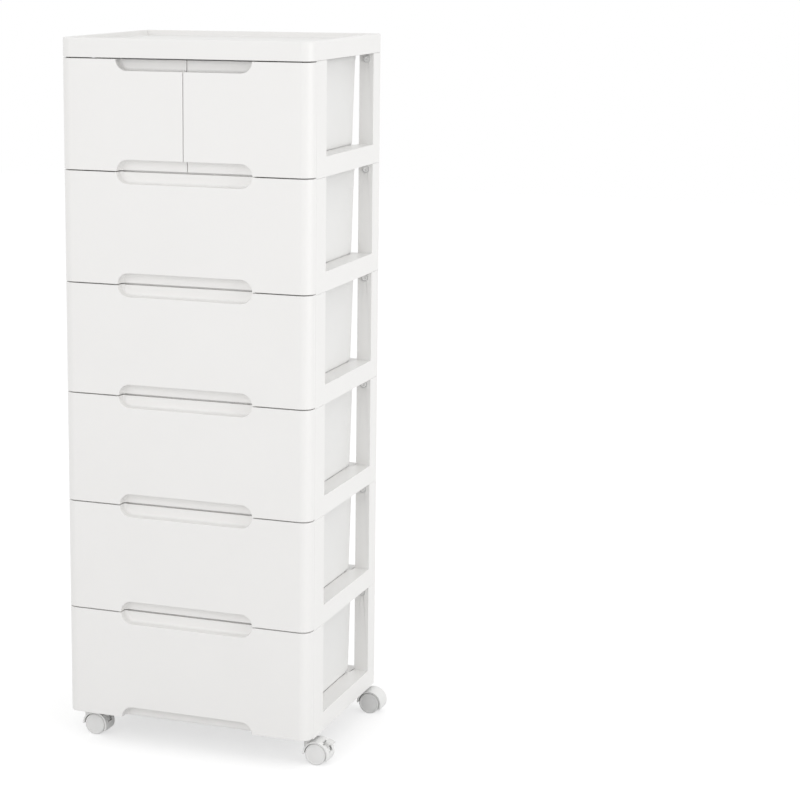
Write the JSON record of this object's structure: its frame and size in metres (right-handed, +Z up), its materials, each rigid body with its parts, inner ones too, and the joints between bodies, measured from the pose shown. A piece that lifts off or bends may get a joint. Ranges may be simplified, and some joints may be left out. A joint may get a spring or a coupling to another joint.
{
  "type": "drawer tower",
  "caption": "Tall storage tower of stacked open-sided frames with full-width drawers, half-width top drawers, a tray top and swivel casters, the front ones braked.",
  "frame": {"origin": "middle of the footprint, on the floor under the wheels", "axes": "+Z up; +X to the right seen from the front; the drawers open towards -Y"},
  "size_m": [0.529, 0.367, 1.284],
  "materials": {
    "frame_plastic": "satin moulded polypropylene",
    "front_plastic": "satin moulded polypropylene",
    "tub_plastic": "thin-walled moulded polypropylene",
    "pin_plastic": "satin moulded nylon",
    "caster_plastic": "satin moulded nylon",
    "wheel_plastic": "matte moulded nylon",
    "lever_plastic": "satin moulded nylon",
    "zinc_steel": "zinc-plated steel"
  },
  "bodies": {
    "root": {"top_tray": "frame_plastic", "tier_frame_1": "frame_plastic", "tier_frame_2": "frame_plastic", "tier_frame_3": "frame_plastic", "tier_frame_4": "frame_plastic", "tier_frame_5": "frame_plastic", "tier_frame_6": "frame_plastic", "post_lock_pins": "pin_plastic", "caster_stem_fl": "zinc_steel", "caster_stem_fr": "zinc_steel", "caster_stem_rl": "zinc_steel", "caster_stem_rr": "zinc_steel"},
    "drawer_1": {"drawer_front_1": "front_plastic", "drawer_tub_1": "tub_plastic"},
    "drawer_2": {"drawer_front_2": "front_plastic", "drawer_tub_2": "tub_plastic"},
    "drawer_3": {"drawer_front_3": "front_plastic", "drawer_tub_3": "tub_plastic"},
    "drawer_4": {"drawer_front_4": "front_plastic", "drawer_tub_4": "tub_plastic"},
    "drawer_5": {"drawer_front_5": "front_plastic", "drawer_tub_5": "tub_plastic"},
    "drawer_left": {"drawer_front_left": "front_plastic", "drawer_tub_left": "tub_plastic"},
    "drawer_right": {"drawer_front_right": "front_plastic", "drawer_tub_right": "tub_plastic"},
    "swivel_fl": {"caster_hood_fl": "caster_plastic", "caster_axle_fl": "zinc_steel"},
    "wheel_outer_fl": {"wheel_outer_fl": "wheel_plastic"},
    "wheel_inner_fl": {"wheel_inner_fl": "wheel_plastic"},
    "swivel_fr": {"caster_hood_fr": "caster_plastic", "caster_axle_fr": "zinc_steel"},
    "wheel_outer_fr": {"wheel_outer_fr": "wheel_plastic"},
    "wheel_inner_fr": {"wheel_inner_fr": "wheel_plastic"},
    "swivel_rl": {"caster_hood_rl": "caster_plastic", "caster_axle_rl": "zinc_steel"},
    "wheel_outer_rl": {"wheel_outer_rl": "wheel_plastic"},
    "wheel_inner_rl": {"wheel_inner_rl": "wheel_plastic"},
    "swivel_rr": {"caster_hood_rr": "caster_plastic", "caster_axle_rr": "zinc_steel"},
    "wheel_outer_rr": {"wheel_outer_rr": "wheel_plastic"},
    "wheel_inner_rr": {"wheel_inner_rr": "wheel_plastic"},
    "brake_fl": {"brake_lever_fl": "lever_plastic"},
    "brake_fr": {"brake_lever_fr": "lever_plastic"}
  },
  "joints": [
    {"name": "drawer_1_slide", "type": "slide", "parent": "root", "child": "drawer_1", "axis": [0, -1, 0], "range_m": [0, 0.24]},
    {"name": "drawer_2_slide", "type": "slide", "parent": "root", "child": "drawer_2", "axis": [0, -1, 0], "range_m": [0, 0.24]},
    {"name": "drawer_3_slide", "type": "slide", "parent": "root", "child": "drawer_3", "axis": [0, -1, 0], "range_m": [0, 0.24]},
    {"name": "drawer_4_slide", "type": "slide", "parent": "root", "child": "drawer_4", "axis": [0, -1, 0], "range_m": [0, 0.24]},
    {"name": "drawer_5_slide", "type": "slide", "parent": "root", "child": "drawer_5", "axis": [0, -1, 0], "range_m": [0, 0.24]},
    {"name": "drawer_left_slide", "type": "slide", "parent": "root", "child": "drawer_left", "axis": [0, -1, 0], "range_m": [0, 0.24]},
    {"name": "drawer_right_slide", "type": "slide", "parent": "root", "child": "drawer_right", "axis": [0, -1, 0], "range_m": [0, 0.24]},
    {"name": "swivel_fl_turn", "type": "hinge", "parent": "root", "child": "swivel_fl", "pos_m": [-0.2175, -0.1355, 0.04], "axis": [0, 0, 1], "continuous": true},
    {"name": "wheel_outer_fl_spin", "type": "hinge", "parent": "swivel_fl", "child": "wheel_outer_fl", "pos_m": [-0.1975, -0.1355, 0.02], "axis": [0, 1, 0], "continuous": true},
    {"name": "wheel_inner_fl_spin", "type": "hinge", "parent": "swivel_fl", "child": "wheel_inner_fl", "pos_m": [-0.1975, -0.1355, 0.02], "axis": [0, 1, 0], "continuous": true},
    {"name": "brake_fl_press", "type": "hinge", "parent": "swivel_fl", "child": "brake_fl", "pos_m": [-0.1855, -0.1355, 0.031], "axis": [0, 1, 0], "range_deg": [0, 18]},
    {"name": "swivel_fr_turn", "type": "hinge", "parent": "root", "child": "swivel_fr", "pos_m": [0.2175, -0.1355, 0.04], "axis": [0, 0, 1], "continuous": true},
    {"name": "wheel_outer_fr_spin", "type": "hinge", "parent": "swivel_fr", "child": "wheel_outer_fr", "pos_m": [0.2375, -0.1355, 0.02], "axis": [0, 1, 0], "continuous": true},
    {"name": "wheel_inner_fr_spin", "type": "hinge", "parent": "swivel_fr", "child": "wheel_inner_fr", "pos_m": [0.2375, -0.1355, 0.02], "axis": [0, 1, 0], "continuous": true},
    {"name": "brake_fr_press", "type": "hinge", "parent": "swivel_fr", "child": "brake_fr", "pos_m": [0.2495, -0.1355, 0.031], "axis": [0, 1, 0], "range_deg": [0, 18]},
    {"name": "swivel_rl_turn", "type": "hinge", "parent": "root", "child": "swivel_rl", "pos_m": [-0.2175, 0.1625, 0.04], "axis": [0, 0, 1], "continuous": true},
    {"name": "wheel_outer_rl_spin", "type": "hinge", "parent": "swivel_rl", "child": "wheel_outer_rl", "pos_m": [-0.2375, 0.1625, 0.02], "axis": [0, 1, 0], "continuous": true},
    {"name": "wheel_inner_rl_spin", "type": "hinge", "parent": "swivel_rl", "child": "wheel_inner_rl", "pos_m": [-0.2375, 0.1625, 0.02], "axis": [0, 1, 0], "continuous": true},
    {"name": "swivel_rr_turn", "type": "hinge", "parent": "root", "child": "swivel_rr", "pos_m": [0.2175, 0.1625, 0.04], "axis": [0, 0, 1], "continuous": true},
    {"name": "wheel_outer_rr_spin", "type": "hinge", "parent": "swivel_rr", "child": "wheel_outer_rr", "pos_m": [0.2375, 0.1625, 0.02], "axis": [0, 1, 0], "continuous": true},
    {"name": "wheel_inner_rr_spin", "type": "hinge", "parent": "swivel_rr", "child": "wheel_inner_rr", "pos_m": [0.2375, 0.1625, 0.02], "axis": [0, 1, 0], "continuous": true}
  ]
}
